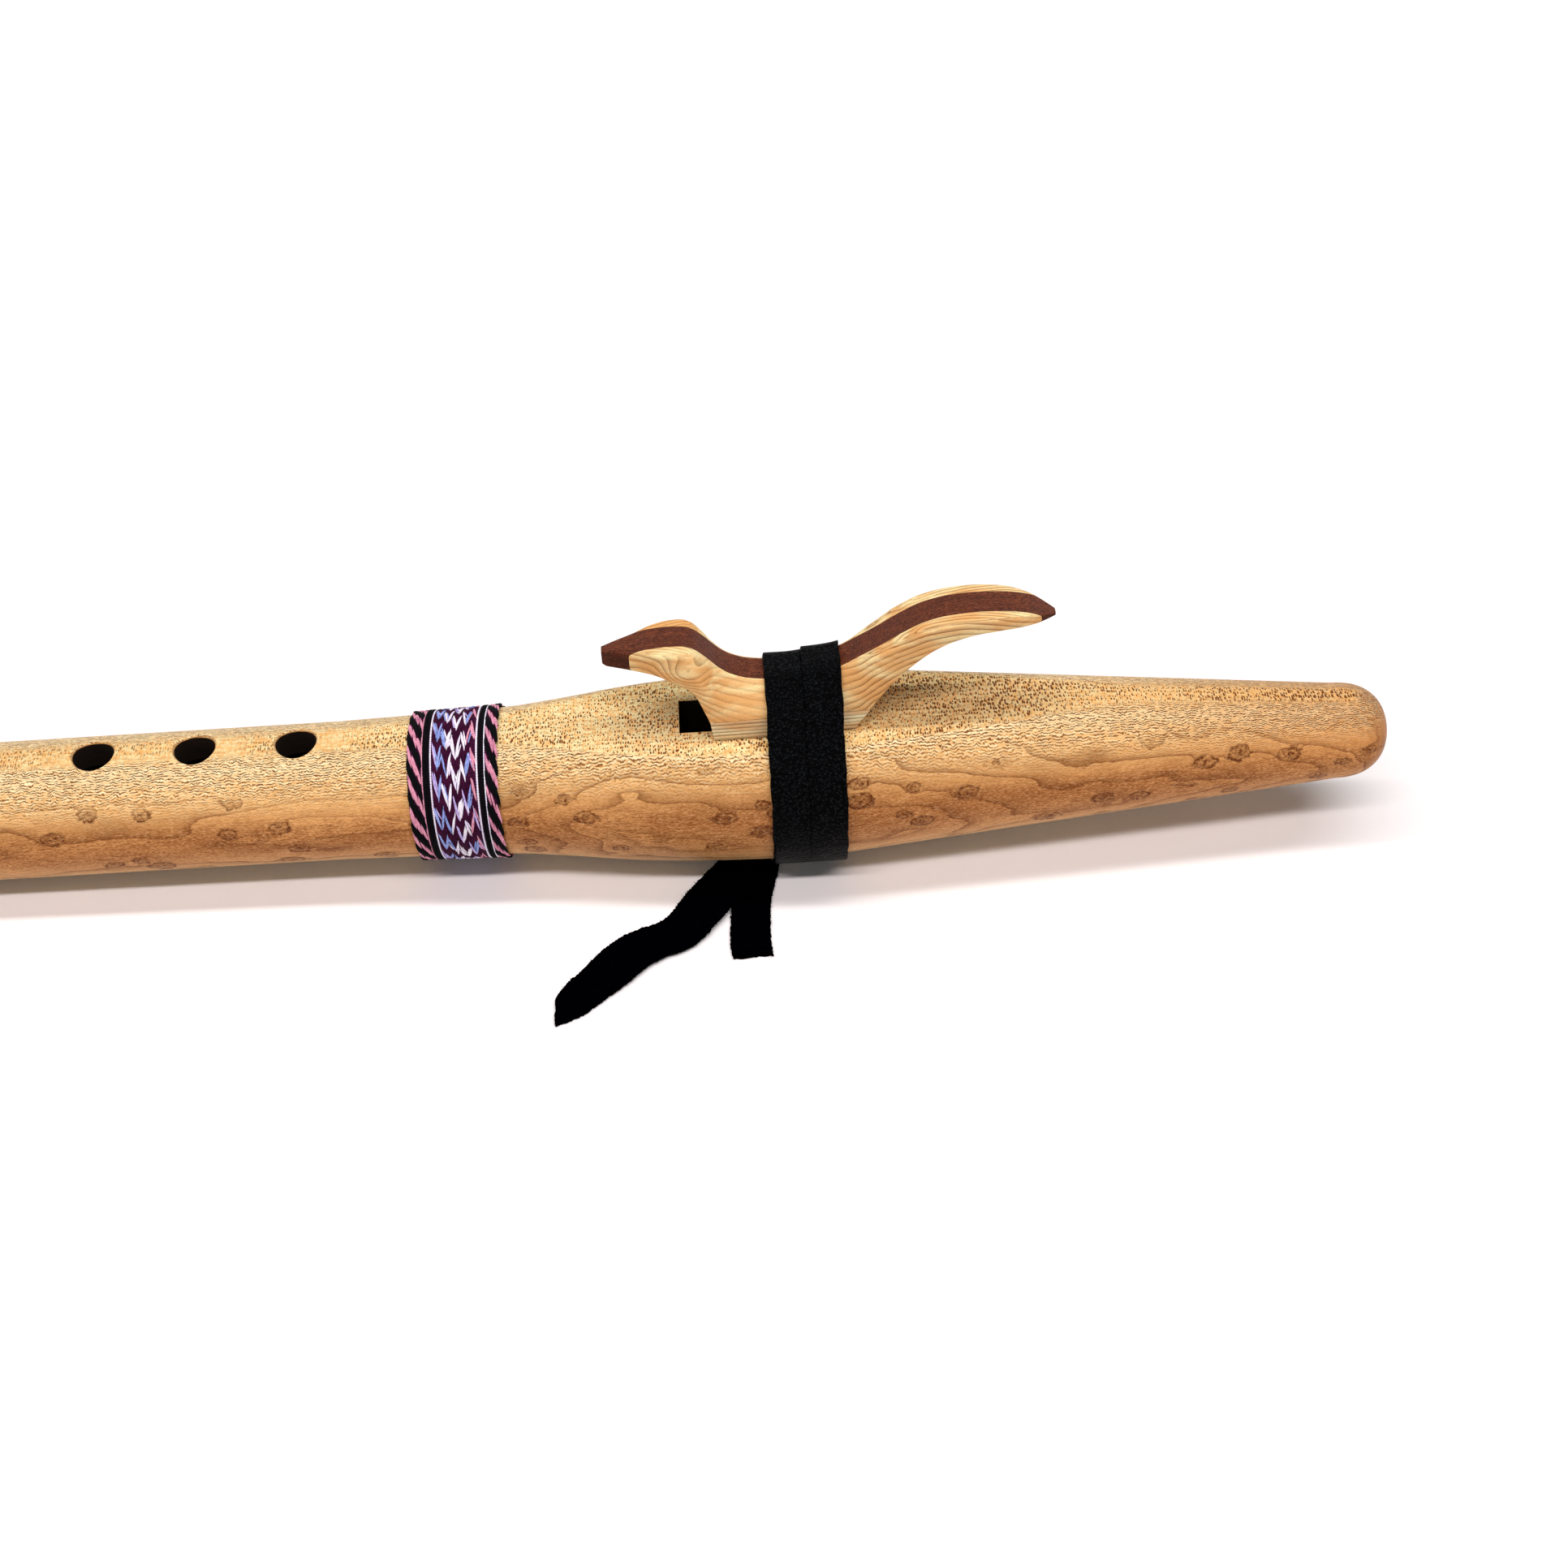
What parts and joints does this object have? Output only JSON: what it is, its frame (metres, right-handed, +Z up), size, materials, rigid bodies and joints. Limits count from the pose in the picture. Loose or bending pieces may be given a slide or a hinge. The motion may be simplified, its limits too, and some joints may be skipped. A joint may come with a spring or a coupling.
{
  "type": "native american flute",
  "caption": "Wooden Native American style flute with a bird-shaped block tied on by a flat leather lace, finger holes on top and a woven band.",
  "frame": {"origin": "on the table, under the middle of the lace's front turn, where the lace is pressed flat", "axes": "+X towards the mouth end, +Z up from the table on the finger-hole side, +Y towards the far side; the bore is tilted 1.36 degrees, mouth end up, because the flute lies on its lace and on its foot"},
  "size_m": [0.5175, 0.0955, 0.08],
  "materials": {
    "maple": "oiled birdseye maple, satin",
    "walnut": "red-brown walnut, satin",
    "ash": "pale ash, satin",
    "black_leather": "black pebbled leather, matt",
    "woven_cloth": "hand-woven band, matt"
  },
  "bodies": {
    "flute": {"body_upper_half": "maple", "body_lower_half": "maple", "woven_band": "woven_cloth"},
    "block": {"block_base": "ash", "block_core": "walnut", "block_cheek_near": "ash", "block_cheek_far": "ash", "lace_winding": "black_leather", "lace_knot": "black_leather", "lace_tail_long": "black_leather", "lace_tail_short": "black_leather"}
  },
  "joints": [
    {"name": "block_slide", "type": "slide", "parent": "flute", "child": "block", "axis": [0.9997, 0, 0.0238], "range_m": [-0.003, 0.003]}
  ]
}
